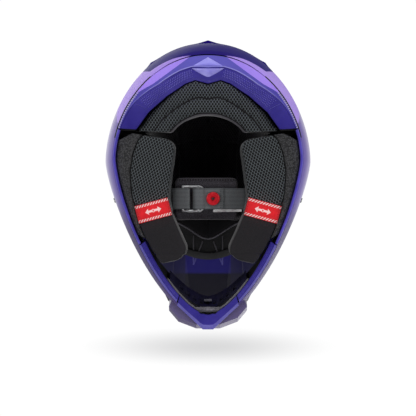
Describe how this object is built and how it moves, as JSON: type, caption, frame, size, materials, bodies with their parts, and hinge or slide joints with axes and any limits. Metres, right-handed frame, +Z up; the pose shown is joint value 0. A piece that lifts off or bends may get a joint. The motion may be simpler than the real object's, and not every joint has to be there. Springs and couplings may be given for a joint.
{
  "type": "motocross helmet",
  "caption": "Full-face motocross helmet with long chin bar, eye port, tilting visor, slide-out cheek pads, neck roll and D-ring chin strap.",
  "frame": {"origin": "on the ground under the middle of the helmet's length and width, with the helmet standing on its lower edge", "axes": "+X to the wearer's left, -Y the way the face looks, +Z up"},
  "size_m": [0.249, 0.35, 0.2752],
  "materials": {
    "shell_paint": "satin purple paint over a fibre shell",
    "spoiler_paint": "satin indigo paint",
    "trim_plastic": "matt violet moulded plastic with a raised pattern",
    "seal_rubber": "matt black rubber",
    "foam": "charcoal bead foam",
    "liner_fabric": "black wicking fabric",
    "mesh_fabric": "charcoal spacer mesh fabric",
    "felt": "black felt",
    "tab_fabric": "red woven tape with white stripes",
    "louvre_plastic": "dark violet plastic",
    "clip_plastic": "grey plastic",
    "grille_plastic": "black plastic",
    "webbing": "dark grey woven webbing",
    "steel": "dark nickel steel",
    "snap_plastic": "red moulded cap",
    "visor_plastic": "satin violet plastic",
    "screw_plastic": "black glass-filled plastic",
    "brass": "brass insert"
  },
  "bodies": {
    "helmet": {"outer_shell": "shell_paint", "rear_spoiler": "spoiler_paint", "bottom_trim_rear": "trim_plastic", "bottom_trim_front_left": "trim_plastic", "bottom_trim_front_right": "trim_plastic", "bottom_trim_chin": "trim_plastic", "edge_seal_left": "trim_plastic", "edge_seal_right": "trim_plastic", "crown_foam": "foam", "chin_foam": "foam", "crown_liner": "liner_fabric", "neck_roll": "mesh_fabric", "eye_port_seal": "seal_rubber", "chin_felt": "felt", "chin_louvre": "louvre_plastic", "louvre_clip": "clip_plastic", "mouthpiece": "visor_plastic", "mouthpiece_grille": "grille_plastic", "strap_left": "webbing", "strap_right": "webbing", "strap_sleeve": "liner_fabric", "snap_cap": "snap_plastic", "snap_socket": "steel", "strap_anchor_left": "steel", "strap_anchor_right": "steel", "anchor_rivets": "steel", "visor_screw_left": "screw_plastic", "visor_screw_right": "screw_plastic", "visor_boss_left": "brass", "visor_boss_right": "brass", "top_boss": "brass", "top_screw": "screw_plastic", "exhaust_vents": "grille_plastic"},
    "visor": {"visor": "visor_plastic", "visor_ear_left": "visor_plastic", "visor_ear_right": "visor_plastic", "visor_tongue": "visor_plastic"},
    "cheek_left": {"cheek_pad_left": "mesh_fabric", "cheek_foam_left": "foam", "pull_tab_left": "tab_fabric"},
    "cheek_right": {"cheek_pad_right": "mesh_fabric", "cheek_foam_right": "foam", "pull_tab_right": "tab_fabric"},
    "d_rings": {"d_ring_upper": "steel", "d_ring_lower": "steel"}
  },
  "joints": [
    {"name": "visor_tilt", "type": "hinge", "parent": "helmet", "child": "visor", "pos_m": [0, 0.005, 0.172], "axis": [-1, 0, 0], "range_deg": [-6, 12]},
    {"name": "cheek_left_slide", "type": "slide", "parent": "helmet", "child": "cheek_left", "axis": [0, 0, -1], "range_m": [0, 0.11]},
    {"name": "cheek_right_slide", "type": "slide", "parent": "helmet", "child": "cheek_right", "axis": [0, 0, -1], "range_m": [0, 0.11]},
    {"name": "d_rings_swing", "type": "hinge", "parent": "helmet", "child": "d_rings", "pos_m": [0.0275, -0.021, 0.0393], "axis": [0, -1, 0], "range_deg": [0, 7]}
  ]
}
